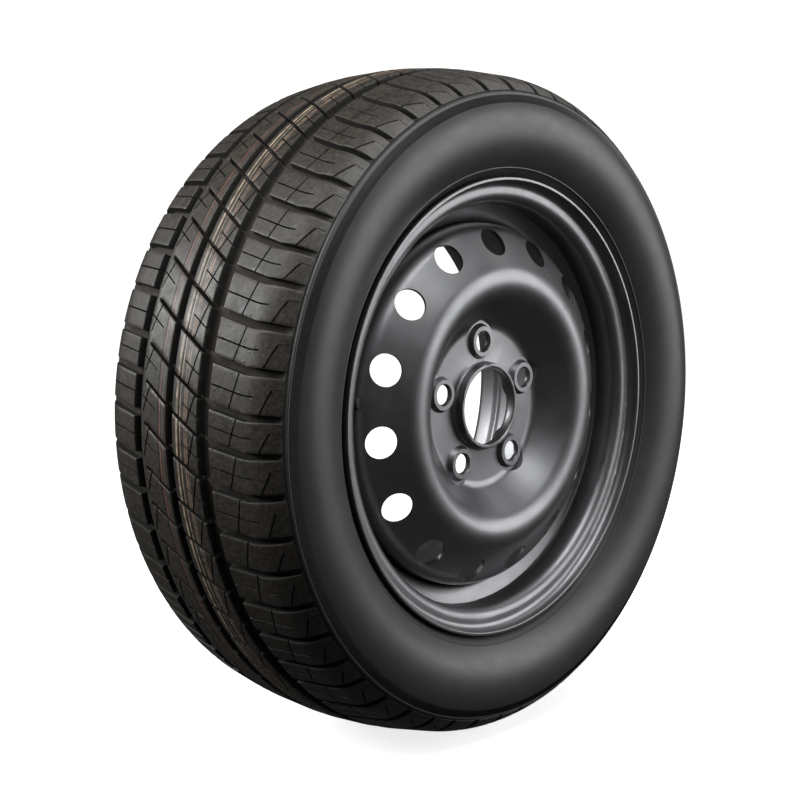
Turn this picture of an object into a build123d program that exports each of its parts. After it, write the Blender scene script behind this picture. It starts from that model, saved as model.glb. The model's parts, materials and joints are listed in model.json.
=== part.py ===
from build123d import *
import os
from math import atan2, cos, degrees, hypot, radians, sin, sqrt, tan

# Car wheel and tyre: a pressed and welded steel wheel, a tubeless tyre and its snap-in valve.
# Millimetres. The axle line is the Y axis, the outboard face looks towards -Y, +Z is up.
# The origin is on the axle line in the middle plane of the rim.

# Rim, rolled from one sheet
bead_seat_diameter = 354.8
rim_width = 165.1
rim_sheet = 3.0
flange_height = 18.2
flange_lip_width = 12.5
flange_curl_radius = 9.5
bead_heel_radius = 6.5
bead_seat_width = 18.0
bead_seat_taper = 5.0
hump_height = 2.0
hump_run = 6.0
hump_radius = 4.0
hump_foot_radius = 6.0
well_depth = 17.0
well_wall_angle = 26.0
well_corner_radius = 5.0
well_inner_edge = -14.0
ledge_radius = 172.5
ledge_edge = 14.0
ledge_corner_radius = 12.0
sheet_edge_radius = 0.9
cut_reach = 7.0

# Disc, pressed from one sheet and seated in the well of the rim
disc_sheet = 3.5
disc_fit_gap = 0.12
pad_face = -66.0
pad_diameter = 140.0
pad_corner_radius = 12.0
hub_bore_diameter = 66.6
hub_collar_height = 9.0
hub_collar_root_radius = 3.0
crown_diameter = 212.0
crown_height = 35.5
crown_radius = 24.0
flank_angle = 33.0
skirt_corner_radius = 20.0
skirt_length = 44.0
vent_count = 15
vent_diameter = 27.0
vent_circle_diameter = 282.0
vent_first_angle = -0.6

# Bolt seats, pressed up out of the pad
bolt_count = 5
bolt_circle_diameter = 112.0
bolt_first_angle = -3.5
bolt_hole_diameter = 16.5
bolt_mouth_diameter = 19.0
bolt_seat_angle = 60.0
boss_height = 4.2
boss_top_diameter = 26.0
boss_foot_diameter = 31.0
boss_pocket_diameter = 36.0
boss_pocket_draft = 14.0
boss_hollow_diameter = 25.0
boss_hollow_depth = 4.0

# Weld beads behind the skirt
weld_count = 8
weld_arc = 24.0
weld_leg = 3.4
weld_gap = 0.05
weld_bulge = 2.1

# Tyre
tyre_diameter = 579.0
section_width = 217.0
crown_arc_radius = 340.0
shoulder_radius = 42.0
tread_thickness = 15.5
sidewall_thickness = 9.0
inner_shoulder_radius = 30.0
bead_width = 15.5
bead_height = 16.0
bead_toe_lean = 2.0
bead_gap = 0.2
flange_hold_angle = 60.0

# Tread: three grooves round the tyre and four rows of cross grooves
groove_depth = 7.5
groove_wall_angle = 8.0
groove_places = (-32.5, 5.0, 46.5)
groove_widths = (9.0, 8.5, 10.5)
pitch_order = "MMSLMSLLLSM"
pitch_repeats = 5
pitch_lengths = {"S": 5.8, "M": 6.65, "L": 7.15}
tread_first_angle = 235.2
cross_groove_depth = 6.5
cross_groove_width = 4.4
diagonal_groove_width = 3.0
cross_groove_fade = 1.2
cross_groove_end_radius = 267.0
outboard_bend = 71.0
bend_overlap = 1.1
outboard_slant = 12.0
diagonal_slant = 31.0
diagonal_end = 37.0
inboard_slant = 10.0

# Snap-in valve, in the outboard wall of the well
valve_angle = 276.0
valve_hole_diameter = 11.3
valve_gap = 0.1
valve_bulb_diameter = 14.0
valve_bulb_length = 6.5
valve_lead_in = 2.2
valve_shoulder_diameter = 12.9
valve_shoulder_length = 2.5
valve_neck_diameter = 10.4
valve_neck_start = 6.0
valve_rubber_length = 9.0
stem_diameter = 6.4
stem_thread_diameter = 7.7
stem_thread_length = 6.5
stem_chamfer = 0.6
stem_air_bore = 2.4
core_bore = 4.2
core_thread_bore = 5.3
core_gap = 0.1
core_plug_depth = 0.8
core_plug_length = 4.2
core_barrel_diameter = 3.6
core_barrel_length = 6.4
core_chamber = 2.7
core_floor = 1.0
core_slot_width = 0.9
core_slot_depth = 1.4
pin_diameter = 1.1
pin_gap = 0.06
pin_travel = 1.2
pin_foot_room = 0.5
pin_collar_diameter = 2.3
pin_collar_length = 0.7
pin_foot_length = 1.0
pin_seal_diameter = 3.4
pin_seal_length = 1.2
pin_tip_depth = 0.5
seal_gap = 0.05
gasket_length = 2.0
spring_wire = 0.36
spring_coil = 1.9
spring_turns = 5
cap_diameter = 10.0
cap_wall = 0.8
cap_skirt_gap = 0.4
cap_flutes = 12
cap_flute_depth = 0.35
cap_band = 0.8
cap_seal_thickness = 0.8

# Worked out from the sizes above
half_rim = rim_width / 2
bead_r = bead_seat_diameter / 2
lip_r = bead_r + flange_height
well_r = bead_r - well_depth
seat_end_r = bead_r - bead_seat_width * tan(radians(bead_seat_taper))
hump_r = seat_end_r + hump_height
skirt_r = well_r - rim_sheet - disc_fit_gap
tyre_r = tyre_diameter / 2
half_section = section_width / 2


def turned(vector, angle):
    """A plane vector turned anticlockwise by an angle in degrees."""
    a = radians(angle)
    return (vector[0] * cos(a) - vector[1] * sin(a), vector[0] * sin(a) + vector[1] * cos(a))


def direction(start, end):
    """The unit vector from one plane point to another."""
    length = hypot(end[0] - start[0], end[1] - start[1])
    return ((end[0] - start[0]) / length, (end[1] - start[1]) / length)


def turn_between(a, b):
    """The anticlockwise angle from one plane vector to another, in degrees."""
    return degrees(atan2(a[0] * b[1] - a[1] * b[0], a[0] * b[0] + a[1] * b[1]))


def sheet_section(points, radii, thickness):
    """A bent sheet: points and bend radii run along its right-hand side, and it thickens to the left."""
    steps = [direction(a, b) for a, b in zip(points, points[1:])]
    bends = [turn_between(a, b) for a, b in zip(steps, steps[1:])]
    far = []
    for i, point in enumerate(points):
        before = steps[max(i - 1, 0)]
        bend = bends[i - 1] if 0 < i < len(points) - 1 else 0.0
        reach = thickness / cos(radians(bend / 2))
        side = turned(before, 90 + bend / 2)
        far.append((point[0] + side[0] * reach, point[1] + side[1] * reach))
    far_radii = [radius - thickness if bend > 0 else radius + thickness for radius, bend in zip(radii, bends)]
    ends = [sheet_edge_radius]
    all_radii = ends + list(radii) + ends + ends + far_radii[::-1] + ends
    outline = FilletPolyline(*points, *far[::-1], radius=all_radii, close=True)
    return make_face(outline)


def around(angle):
    """The turn about the axle line that carries the +X side to a clock angle, seen from outboard."""
    return Rot(0, angle - 90, 0)


def spun(points):
    """A solid turned on the local Z axis from (radius, height) points."""
    return revolve(make_face(Polyline(*[(r, 0, z) for r, z in points], close=True)), axis=Axis.Z)


# Rim: the tyre side from the outboard lip to the inboard lip
def rim_path():
    seat_end = half_rim - bead_seat_width
    hump_top = seat_end - hump_run
    well_outer_edge = -hump_top + (hump_r - well_r) * tan(radians(well_wall_angle))
    inner_hump_foot = hump_top - hump_run
    corners = [
        (lip_r, -half_rim, flange_curl_radius),
        (bead_r, -half_rim, bead_heel_radius),
        (seat_end_r, -seat_end, hump_foot_radius),
        (hump_r, -hump_top, hump_radius),
        (well_r, well_outer_edge, well_corner_radius),
        (well_r, well_inner_edge, ledge_corner_radius),
        (ledge_radius, ledge_edge, ledge_corner_radius),
        (seat_end_r, inner_hump_foot, hump_foot_radius),
        (hump_r, hump_top, hump_foot_radius),
        (seat_end_r, seat_end, hump_foot_radius),
        (bead_r, half_rim, bead_heel_radius),
        (lip_r, half_rim, flange_curl_radius),
    ]
    lip_end = half_rim + flange_lip_width
    points = [(lip_r, -lip_end)] + [c[:2] for c in corners] + [(lip_r, lip_end)]
    return points, [c[2] for c in corners]


rim_points, rim_radii = rim_path()
hump_top_point, well_corner_point = rim_points[4], rim_points[5]

# The valve stands on the flat stretch of the well's outboard wall
wall_run = direction(hump_top_point, well_corner_point)
wall_bend = 90 - well_wall_angle
hump_slope = degrees(atan2(hump_height, hump_run))
flat_start = hump_radius * tan(radians((wall_bend + hump_slope) / 2))
wall_length = hypot(hump_top_point[0] - well_corner_point[0], hump_top_point[1] - well_corner_point[1])
flat_end = wall_length - well_corner_radius * tan(radians(wall_bend / 2))
valve_along = (flat_start + flat_end) / 2
valve_aim = turned(wall_run, 90)
valve_foot = (
    hump_top_point[0] + wall_run[0] * valve_along + valve_aim[0] * rim_sheet,
    hump_top_point[1] + wall_run[1] * valve_along + valve_aim[1] * rim_sheet,
)
valve_place = around(valve_angle) * Plane(
    origin=(valve_foot[0], valve_foot[1], 0), x_dir=(0, 0, 1), z_dir=(valve_aim[0], valve_aim[1], 0)
).location

rim = revolve(sheet_section(rim_points, rim_radii, rim_sheet), axis=Axis.Y)
rim -= valve_place * Cylinder(valve_hole_diameter / 2, 2 * (rim_sheet + cut_reach))

# Disc: the outboard side from the hub collar to the end of the skirt
collar_r = hub_bore_diameter / 2 + disc_sheet
pad_r = pad_diameter / 2
pad_back = pad_face + disc_sheet
crown_corner = (crown_diameter / 2, pad_face - crown_height)
skirt_corner = (skirt_r, crown_corner[1] + (skirt_r - crown_corner[0]) * tan(radians(flank_angle)))
skirt_end = skirt_corner[1] + skirt_length
disc_points = [
    (collar_r, pad_face - hub_collar_height),
    (collar_r, pad_face),
    (pad_r, pad_face),
    crown_corner,
    skirt_corner,
    (skirt_r, skirt_end),
]
disc_radii = [hub_collar_root_radius, pad_corner_radius, crown_radius, skirt_corner_radius]
disc = revolve(sheet_section(disc_points, disc_radii, disc_sheet), axis=Axis.Y)

# Vent holes, pierced square to the flank
vent_r = vent_circle_diameter / 2
flank_aim = turned((1, 0), flank_angle - 90)
vent_foot = (vent_r, crown_corner[1] + (vent_r - crown_corner[0]) * tan(radians(flank_angle)))
vent_plane = Plane(
    origin=(vent_foot[0], vent_foot[1], 0), x_dir=(0, 0, 1), z_dir=(flank_aim[0], flank_aim[1], 0)
)
vent_tool = vent_plane.location * Cylinder(vent_diameter / 2, 2 * (disc_sheet + cut_reach))
vents = [around(vent_first_angle + 360 * i / vent_count) * vent_tool for i in range(vent_count)]

# Bolt seats: a pocket in the bowl wall, a boss that is hollow behind, a hole and a conical mouth
bolt_plane = Plane(origin=(bolt_circle_diameter / 2, pad_face, 0), x_dir=(0, 0, 1), z_dir=(0, -1, 0))
pocket_r = boss_pocket_diameter / 2
foot_r = boss_foot_diameter / 2
top_r = boss_top_diameter / 2
hole_r = bolt_hole_diameter / 2
mouth_r = bolt_mouth_diameter / 2
seat_depth = (mouth_r - hole_r) / tan(radians(bolt_seat_angle / 2))
land = spun([(0, -disc_sheet), (pocket_r + disc_sheet, -disc_sheet), (pocket_r + disc_sheet, 0), (0, 0)])
pocket_mouth_r = pocket_r + crown_height * tan(radians(boss_pocket_draft))
pocket = spun([(0, 0), (pocket_r, 0), (pocket_mouth_r, crown_height), (0, crown_height)])
boss = spun([(0, -disc_sheet), (foot_r, -disc_sheet), (foot_r, 0), (top_r, boss_height), (0, boss_height)])
hollow_r = boss_hollow_diameter / 2
hollow_roof = boss_hollow_depth - disc_sheet
hollow = spun([
    (0, -disc_sheet - cut_reach),
    (hollow_r, -disc_sheet - cut_reach),
    (hollow_r, hollow_roof),
    (0, hollow_roof),
])
seat = spun([
    (0, -disc_sheet - cut_reach),
    (hole_r, -disc_sheet - cut_reach),
    (hole_r, boss_height - seat_depth),
    (mouth_r, boss_height),
    (mouth_r, boss_height + cut_reach),
    (0, boss_height + cut_reach),
])


def at_bolts(tool):
    """A tool set at each bolt of the circle."""
    step = 360 / bolt_count
    return [around(bolt_first_angle + step * i) * bolt_plane.location * tool for i in range(bolt_count)]


disc = disc + at_bolts(land)
disc = disc - at_bolts(pocket)
disc = disc + at_bolts(boss)
disc = disc - at_bolts(hollow) - at_bolts(seat) - vents

# Weld beads between the end of the skirt and the well
weld_outer = well_r - rim_sheet - weld_gap
weld_inner = weld_outer - weld_leg
weld_start = skirt_end + weld_gap
with BuildLine() as weld_line:
    Polyline((weld_inner, weld_start), (weld_outer, weld_start), (weld_outer, weld_start + weld_leg))
    ThreePointArc(
        (weld_outer, weld_start + weld_leg),
        (weld_outer - weld_bulge, weld_start + weld_bulge),
        (weld_inner, weld_start),
    )
weld = revolve(make_face(weld_line.line), axis=Axis.Y, revolution_arc=weld_arc)
welds = [around(360 * (i + 0.5) / weld_count) * weld for i in range(weld_count)]


# Tyre section: a crown arc that runs into a shoulder arc at each side
def shoulder_points(top_r, half_width, arc_radius, corner_radius):
    """Where the crown arc meets the shoulder arc, a point on the shoulder, and its widest point."""
    centre_r = top_r - arc_radius
    across = half_width - corner_radius
    along = sqrt((arc_radius - corner_radius) ** 2 - across ** 2)
    share = arc_radius / (arc_radius - corner_radius)
    edge = (centre_r + along * share, across * share)
    widest = (centre_r + along, half_width)
    turn = atan2(along, across) / 2
    middle = (widest[0] + corner_radius * sin(turn), across + corner_radius * cos(turn))
    return edge, middle, widest


def crown_point(top_r, place):
    """The point of the crown arc at a place across the tread."""
    return (top_r - crown_arc_radius + sqrt(crown_arc_radius ** 2 - place ** 2), place)


def crown_line(top_r, edge):
    """The crown from edge to edge, straight across each rib, on the crown arc at each groove."""
    return [(edge[0], -edge[1])] + [crown_point(top_r, place) for place in groove_places] + [edge]


def tyre_section():
    """The tyre's section before its grooves are cut."""
    edge, middle, widest = shoulder_points(tyre_r, half_section, crown_arc_radius, shoulder_radius)
    inner_r = tyre_r - tread_thickness
    inner_edge, inner_middle, inner_widest = shoulder_points(
        inner_r, half_section - sidewall_thickness, crown_arc_radius - tread_thickness, inner_shoulder_radius
    )
    curl = (lip_r - flange_curl_radius, half_rim + flange_curl_radius)
    hold = flange_curl_radius + bead_gap

    def on_curl(angle):
        return (curl[0] + hold * sin(radians(angle)), curl[1] - hold * cos(radians(angle)))

    face = half_rim - bead_gap
    heel_r = bead_r + bead_gap
    toe = face - bead_width
    toe_r = heel_r - bead_width * tan(radians(bead_seat_taper))
    inside = (bead_r + bead_height, toe + bead_toe_lean)
    with BuildLine() as line:
        ThreePointArc(edge, middle, widest)
        TangentArc(widest, on_curl(flange_hold_angle), tangent=(-1, 0))
        ThreePointArc(on_curl(flange_hold_angle), on_curl(flange_hold_angle / 2), on_curl(0))
        FilletPolyline(on_curl(0), (heel_r, face), (toe_r, toe), radius=bead_heel_radius)
        Line((toe_r, toe), inside)
        TangentArc(inner_widest, inside, tangent=(-1, 0))
        ThreePointArc(inner_widest, inner_middle, inner_edge)
        mirror(about=Plane.XZ)
        Polyline(*crown_line(tyre_r, edge))
        ThreePointArc((inner_edge[0], -inner_edge[1]), (inner_r, 0), inner_edge)
    return make_face(line.line)


def groove_section(place, width):
    """The section of one groove round the tyre, its floor parallel to the crown."""
    floor = crown_point(tyre_r, place)[0] - groove_depth
    top = tyre_r + groove_depth
    lean = (top - floor) * tan(radians(groove_wall_angle))
    base = width / 2 - groove_depth * tan(radians(groove_wall_angle))
    return make_face(Polyline(
        (floor, place - base),
        (top, place - base - lean),
        (top, place + base + lean),
        (floor, place + base),
        close=True,
    ))


def tread_floor():
    """What the cross grooves leave alone: full depth at the crown, fading out at the sidewalls."""
    floor_r = tyre_r - cross_groove_depth
    edge, middle, widest = shoulder_points(
        floor_r, half_section - cross_groove_fade, crown_arc_radius, shoulder_radius
    )
    far_edge, far_middle, far_widest = [(r, -y) for r, y in (edge, middle, widest)]
    with BuildLine() as line:
        Polyline(*crown_line(floor_r, edge))
        ThreePointArc(edge, middle, widest)
        Polyline(widest, (bead_r, widest[1]), (bead_r, far_widest[1]), far_widest)
        ThreePointArc(far_widest, far_middle, far_edge)
    return make_face(line.line)


def cross_groove(start, end, width, slant, pivot):
    """A straight cutter across the tread at the +X side, slanted about the point where it meets pivot."""
    near = pivot + (start - pivot) / cos(radians(slant))
    far = pivot + (end - pivot) / cos(radians(slant))
    outside = tyre_r + cross_groove_depth
    band = Pos((cross_groove_end_radius + outside) / 2, (near + far) / 2) * Rectangle(
        outside - cross_groove_end_radius, far - near
    )
    blade = extrude(band - tread_floor(), width / 2, both=True)
    return Pos(0, pivot, 0) * Rot(-slant, 0, 0) * Pos(0, -pivot, 0) * blade


def pitch_angles():
    """The clock angle of each pitch of the tread, its lengths in turn as pitch_order gives them."""
    lengths = [pitch_lengths[letter] for letter in pitch_order * pitch_repeats]
    scale = 360 / sum(lengths)
    angles = []
    angle = tread_first_angle
    for length in lengths:
        angles.append(angle)
        angle += length * scale
    return angles


def arc_angle(length):
    """The angle that a length round the tread takes up."""
    return degrees(length / tyre_r)


# One line of cross grooves bends at the outboard shoulder and again at each outer groove
outboard_place, middle_place, inboard_place = groove_places
outboard_lead = (outboard_bend + outboard_place) * tan(radians(outboard_slant))
middle_lead = outboard_lead + (middle_place - outboard_place) * tan(radians(diagonal_slant))
inboard_lead = middle_lead + (inboard_place - middle_place) * tan(radians(diagonal_slant))
shoulder_tool = cross_groove(-half_section, -outboard_bend, cross_groove_width, 0.0, -outboard_bend)
outboard_tool = cross_groove(
    -outboard_bend - bend_overlap, outboard_place, cross_groove_width, outboard_slant, -outboard_bend
)
diagonal_tool = cross_groove(
    outboard_place, diagonal_end, diagonal_groove_width, diagonal_slant, middle_place
)
inboard_tool = cross_groove(inboard_place, half_section, cross_groove_width, inboard_slant, inboard_place)
cutters = [
    (0.0, shoulder_tool),
    (0.0, outboard_tool),
    (middle_lead, diagonal_tool),
    (inboard_lead, inboard_tool),
]

section = tyre_section()
for groove_place, groove_width in zip(groove_places, groove_widths):
    section -= groove_section(groove_place, groove_width)
tyre = revolve(section, axis=Axis.Y)
tyre -= [around(angle + arc_angle(lead)) * tool for angle in pitch_angles() for lead, tool in cutters]

# Valve: heights run from the rim's face along the valve, outwards
stem_r = stem_diameter / 2
thread_r = stem_thread_diameter / 2
stem_top = valve_rubber_length + valve_gap + stem_thread_length
stem_bottom = -rim_sheet - valve_bulb_length
neck_r = valve_neck_diameter / 2
shoulder_r = valve_shoulder_diameter / 2
bulb_r = valve_bulb_diameter / 2
waist_r = valve_hole_diameter / 2 - valve_gap
valve_body = spun([
    (stem_r, stem_bottom),
    (bulb_r - valve_lead_in, stem_bottom),
    (bulb_r, stem_bottom + valve_lead_in),
    (bulb_r, -rim_sheet - valve_gap),
    (waist_r, -rim_sheet - valve_gap),
    (waist_r, valve_gap),
    (shoulder_r, valve_gap),
    (shoulder_r, valve_shoulder_length),
    (neck_r, valve_neck_start),
    (neck_r, valve_rubber_length),
    (stem_r, valve_rubber_length),
])

plug_top = stem_top - core_plug_depth
plug_bottom = plug_top - core_plug_length
barrel_bottom = plug_bottom - core_barrel_length
seal_top = barrel_bottom - seal_gap
seal_bottom = seal_top - pin_seal_length
foot_bottom = seal_bottom - seal_gap - pin_foot_length
core_bottom = foot_bottom - pin_travel - pin_foot_room
core_r = core_bore / 2
core_thread_r = core_thread_bore / 2
air_r = stem_air_bore / 2
valve_stem = spun([
    (air_r, stem_bottom),
    (stem_r, stem_bottom),
    (stem_r, valve_rubber_length + valve_gap),
    (thread_r, valve_rubber_length + valve_gap),
    (thread_r, stem_top - stem_chamfer),
    (thread_r - stem_chamfer, stem_top),
    (core_thread_r, stem_top),
    (core_thread_r, plug_bottom),
    (core_r, plug_bottom),
    (core_r, core_bottom),
    (air_r, core_bottom),
])

plug_r = core_thread_r - core_gap
barrel_r = core_barrel_diameter / 2
chamber_r = core_chamber / 2
pin_r = pin_diameter / 2
guide_r = pin_r + pin_gap
chamber_floor = barrel_bottom + core_floor
valve_core_housing = spun([
    (guide_r, barrel_bottom),
    (barrel_r, barrel_bottom),
    (barrel_r, plug_bottom + seal_gap),
    (plug_r, plug_bottom + seal_gap),
    (plug_r, plug_top),
    (guide_r, plug_top),
    (guide_r, plug_bottom),
    (chamber_r, plug_bottom),
    (chamber_r, chamber_floor),
    (guide_r, chamber_floor),
])
valve_core_housing -= Pos(0, 0, plug_top) * Box(2 * core_thread_r, core_slot_width, 2 * core_slot_depth)

gasket_top = plug_bottom - seal_gap
gasket_in, gasket_out = barrel_r + seal_gap, core_r - seal_gap
valve_core_gasket = spun([
    (gasket_in, gasket_top - gasket_length),
    (gasket_out, gasket_top - gasket_length),
    (gasket_out, gasket_top),
    (gasket_in, gasket_top),
])

collar_top = plug_bottom - seal_gap
collar_bottom = collar_top - pin_collar_length
collar_radius = pin_collar_diameter / 2
seal_r = pin_seal_diameter / 2
valve_core_pin = spun([
    (0, foot_bottom),
    (seal_r, foot_bottom),
    (seal_r, foot_bottom + pin_foot_length),
    (pin_r, foot_bottom + pin_foot_length),
    (pin_r, collar_bottom),
    (collar_radius, collar_bottom),
    (collar_radius, collar_top),
    (pin_r, collar_top),
    (pin_r, stem_top - pin_tip_depth),
    (0, stem_top - pin_tip_depth),
])
valve_core_seal = spun([
    (pin_r + seal_gap, seal_bottom),
    (seal_r, seal_bottom),
    (seal_r, seal_top),
    (pin_r + seal_gap, seal_top),
])

wire_r = spring_wire / 2
spring_bottom = chamber_floor + seal_gap + wire_r
spring_height = collar_bottom - seal_gap - wire_r - spring_bottom
spring_path = Pos(0, 0, spring_bottom) * Helix(spring_height / spring_turns, spring_height, spring_coil / 2)
wire_plane = Plane(origin=spring_path @ 0, z_dir=spring_path % 0)
valve_core_spring = sweep(wire_plane * Circle(wire_r), path=spring_path, is_frenet=True)

cap_r = cap_diameter / 2
cap_bore_r = thread_r + core_gap
cap_bottom = valve_rubber_length + cap_skirt_gap
cap_seal_bottom = stem_top + seal_gap
cap_roof = cap_seal_bottom + cap_seal_thickness + seal_gap
cap_top = cap_roof + cap_wall
valve_cap = spun([
    (cap_bore_r, cap_bottom),
    (cap_r, cap_bottom),
    (cap_r, cap_top - cap_wall),
    (cap_r - cap_wall, cap_top),
    (0, cap_top),
    (0, cap_roof),
    (cap_bore_r, cap_roof),
])
flute_length = cap_top - cap_wall - cap_bottom - 2 * cap_band
flute = Pos(cap_r + cap_flute_depth, 0, cap_bottom + cap_band + flute_length / 2) * Cylinder(
    2 * cap_flute_depth, flute_length
)
valve_cap -= [Rot(0, 0, 360 * i / cap_flutes) * flute for i in range(cap_flutes)]
cap_seal_r = cap_bore_r - seal_gap
valve_cap_seal = spun([
    (0, cap_seal_bottom),
    (cap_seal_r, cap_seal_bottom),
    (cap_seal_r, cap_seal_bottom + cap_seal_thickness),
    (0, cap_seal_bottom + cap_seal_thickness),
])

nodes = {
    "tyre": tyre,
    "rim": rim,
    "wheel_disc": disc,
    "disc_welds": Compound(children=welds),
    "valve_body": valve_place * valve_body,
    "valve_stem": valve_place * valve_stem,
    "valve_core_housing": valve_place * valve_core_housing,
    "valve_core_gasket": valve_place * valve_core_gasket,
    "valve_core_pin": valve_place * valve_core_pin,
    "valve_core_seal": valve_place * valve_core_seal,
    "valve_core_spring": valve_place * valve_core_spring,
    "valve_cap": valve_place * valve_cap,
    "valve_cap_seal": valve_place * valve_cap_seal,
}
os.makedirs("parts", exist_ok=True)
for name, shape in nodes.items():
    export_step(shape, f"parts/{name}.step")
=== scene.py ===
import bpy
import bmesh
import json
import math
from mathutils import Matrix, Vector
from mathutils.geometry import delaunay_2d_cdt


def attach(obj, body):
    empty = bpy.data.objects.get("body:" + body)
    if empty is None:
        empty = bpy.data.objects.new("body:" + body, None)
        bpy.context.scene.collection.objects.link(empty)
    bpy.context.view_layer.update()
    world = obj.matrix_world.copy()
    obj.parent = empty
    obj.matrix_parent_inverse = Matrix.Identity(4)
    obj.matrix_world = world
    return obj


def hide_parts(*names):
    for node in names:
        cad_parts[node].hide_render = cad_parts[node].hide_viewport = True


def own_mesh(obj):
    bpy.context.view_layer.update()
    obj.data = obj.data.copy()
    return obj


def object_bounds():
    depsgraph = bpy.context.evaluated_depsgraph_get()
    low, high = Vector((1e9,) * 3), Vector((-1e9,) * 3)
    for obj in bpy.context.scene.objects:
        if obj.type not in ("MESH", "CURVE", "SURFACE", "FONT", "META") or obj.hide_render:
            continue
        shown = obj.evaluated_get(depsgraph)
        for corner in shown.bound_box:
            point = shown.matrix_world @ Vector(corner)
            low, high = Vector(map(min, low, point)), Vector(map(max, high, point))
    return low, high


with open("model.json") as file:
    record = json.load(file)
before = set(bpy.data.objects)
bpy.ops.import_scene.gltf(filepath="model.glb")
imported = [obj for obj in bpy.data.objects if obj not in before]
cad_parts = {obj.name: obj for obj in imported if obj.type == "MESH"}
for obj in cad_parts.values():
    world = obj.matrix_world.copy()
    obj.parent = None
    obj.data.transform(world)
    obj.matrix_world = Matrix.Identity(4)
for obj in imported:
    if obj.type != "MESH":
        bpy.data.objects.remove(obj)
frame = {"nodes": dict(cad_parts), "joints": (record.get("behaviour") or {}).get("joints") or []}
nodes = frame["nodes"]
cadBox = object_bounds()
mm = 0.001
print("frame loaded:", len(nodes), "nodes")


# small helpers for node trees and meshes

def addNode(tree, kind, **values):
    node = tree.nodes.new(kind)
    for name, value in values.items():
        setattr(node, name, value)
    return node


def feed(tree, socket, source):
    # a socket takes either another socket or a plain value
    if isinstance(source, bpy.types.NodeSocket):
        tree.links.new(source, socket)
    else:
        socket.default_value = source


def mathNode(tree, operation, *inputs, clamp=False):
    node = addNode(tree, "ShaderNodeMath", operation=operation, use_clamp=clamp)
    for socket, source in zip(node.inputs, inputs):
        feed(tree, socket, source)
    return node.outputs[0]


def times(tree, a, b):
    return mathNode(tree, "MULTIPLY", a, b)


def groupInput(tree, name, kind, value=None):
    socket = tree.interface.new_socket(name=name, in_out="INPUT", socket_type=kind)
    if value is not None:
        socket.default_value = value


def newTree(name):
    tree = bpy.data.node_groups.new(name, "GeometryNodeTree")
    groupInput(tree, "Geometry", "NodeSocketGeometry")
    tree.interface.new_socket(name="Geometry", in_out="OUTPUT", socket_type="NodeSocketGeometry")
    return tree


def endTree(tree, geometry, material):
    # any instances are made real, then everything gets its finish
    whole = addNode(tree, "GeometryNodeRealizeInstances")
    feed(tree, whole.inputs["Geometry"], geometry)
    finish = addNode(tree, "GeometryNodeSetMaterial")
    feed(tree, finish.inputs["Geometry"], whole.outputs["Geometry"])
    feed(tree, finish.inputs["Material"], material)
    feed(tree, addNode(tree, "NodeGroupOutput").inputs["Geometry"], finish.outputs["Geometry"])


def addTree(obj, tree, settings):
    # inputs are set by identifier
    modifier = obj.modifiers.new(tree.name, "NODES")
    modifier.node_group = tree
    for item in tree.interface.items_tree:
        if item.in_out == "INPUT" and item.name in settings:
            modifier[item.identifier] = settings[item.name]
    return modifier


def runTree(obj, tree, settings):
    # the tree's result becomes the object's plain mesh
    modifier = addTree(obj, tree, settings)
    bpy.context.view_layer.update()
    made = bpy.data.meshes.new_from_object(obj.evaluated_get(bpy.context.evaluated_depsgraph_get()))
    obj.modifiers.remove(modifier)
    old = obj.data
    obj.data = made
    bpy.data.meshes.remove(old)


def meshObject(name, verts, edges, faces):
    mesh = bpy.data.meshes.new(name)
    mesh.from_pydata(verts, edges, faces)
    obj = bpy.data.objects.new(name, mesh)
    bpy.context.scene.collection.objects.link(obj)
    return obj


def storeFloat(mesh, name, values):
    attribute = mesh.attributes.new(name, "FLOAT", "POINT")
    attribute.data.foreach_set("value", values)


def shadeFaces(obj, sharpAngle):
    # outward faces, smooth shading, and sharp edges where the surface bends hard
    shape = bmesh.new()
    shape.from_mesh(obj.data)
    bmesh.ops.recalc_face_normals(shape, faces=shape.faces)
    for face in shape.faces:
        face.smooth = True
    shape.to_mesh(obj.data)
    shape.free()
    obj.data.set_sharp_from_angle(angle=math.radians(sharpAngle))


# materials

def newMaterial(name):
    material = bpy.data.materials.new(name)
    material.use_nodes = True
    tree = material.node_tree
    return material, tree, tree.nodes["Principled BSDF"]


def noise(tree, scale, detail=3.0, roughness=0.55):
    coords = addNode(tree, "ShaderNodeTexCoord")
    node = addNode(tree, "ShaderNodeTexNoise")
    node.inputs["Scale"].default_value = scale
    node.inputs["Detail"].default_value = detail
    node.inputs["Roughness"].default_value = roughness
    tree.links.new(coords.outputs["Object"], node.inputs["Vector"])
    return node.outputs["Fac"]


def ramp(tree, source, low, high, fromLow=0.3, fromHigh=0.7):
    node = addNode(tree, "ShaderNodeMapRange")
    for name, value in (("From Min", fromLow), ("From Max", fromHigh), ("To Min", low), ("To Max", high)):
        node.inputs[name].default_value = value
    feed(tree, node.inputs["Value"], source)
    return node.outputs["Result"]


def mixColour(tree, amount, a, b):
    node = addNode(tree, "ShaderNodeMix", data_type="RGBA")
    feed(tree, node.inputs["Factor"], amount)
    feed(tree, node.inputs["A"], a)
    feed(tree, node.inputs["B"], b)
    return node.outputs["Result"]


def bump(tree, height, strength, distance):
    node = addNode(tree, "ShaderNodeBump")
    node.inputs["Strength"].default_value = strength
    node.inputs["Distance"].default_value = distance
    tree.links.new(height, node.inputs["Height"])
    return node.outputs["Normal"]


def attributeValue(tree, name):
    return addNode(tree, "ShaderNodeAttribute", attribute_name=name).outputs["Fac"]


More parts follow.
